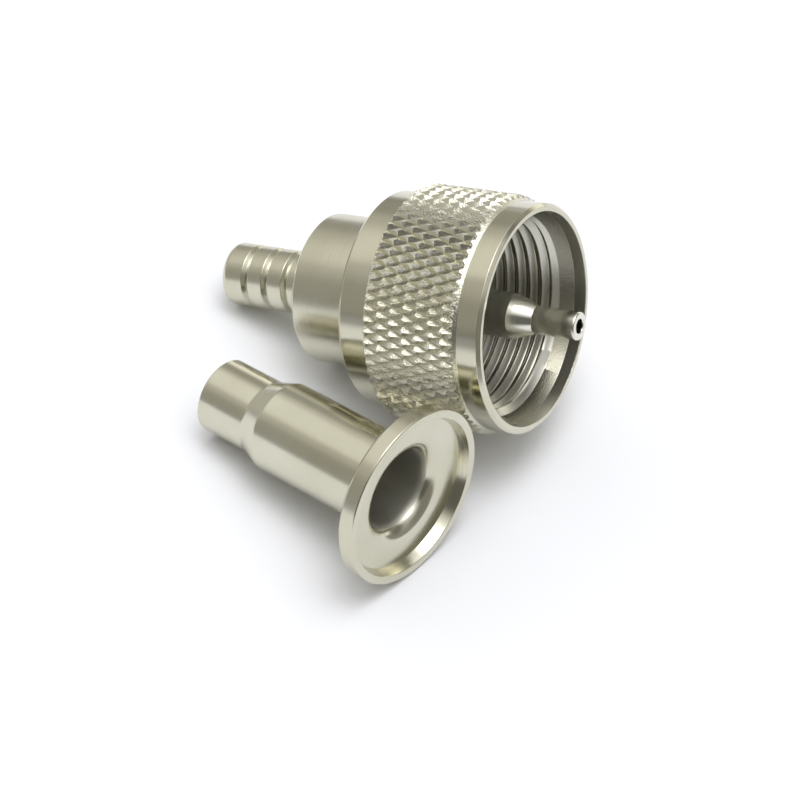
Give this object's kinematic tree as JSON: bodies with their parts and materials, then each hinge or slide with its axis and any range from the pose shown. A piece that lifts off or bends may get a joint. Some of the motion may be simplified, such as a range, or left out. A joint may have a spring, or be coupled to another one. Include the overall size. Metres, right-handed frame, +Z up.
{
  "type": "uhf coaxial plug",
  "caption": "Crimp type UHF coaxial plug with a knurled threaded coupling nut, hollow centre pin and barbed stem, lying beside its loose flanged crimp ferrule.",
  "frame": {"origin": "on the table, below the middle of the box around the plug and its ferrule", "axes": "+Z up; +X is the way the plug's mouth points, seen from above; the plug's axis leans up by about 22 degrees in the XZ plane; the ferrule lies on the -Y side"},
  "size_m": [0.0304, 0.0334, 0.0209],
  "materials": {
    "nut_plate": "nickel plated, knurled",
    "body_plate": "nickel plated, satin turned",
    "insulator_plastic": "matt",
    "pin_plate": "nickel plated, bright",
    "ferrule_plate": "nickel plated, satin turned"
  },
  "bodies": {
    "plug": {"plug_body": "body_plate", "insulator": "insulator_plastic", "centre_pin": "pin_plate", "crimp_ferrule": "ferrule_plate"},
    "nut": {"coupling_nut": "nut_plate"}
  },
  "joints": [
    {"name": "nut_turn", "type": "hinge", "parent": "plug", "child": "nut", "pos_m": [0.00025, 0.00727, 0.00814], "axis": [0.9272, 0, 0.3746], "continuous": true}
  ]
}
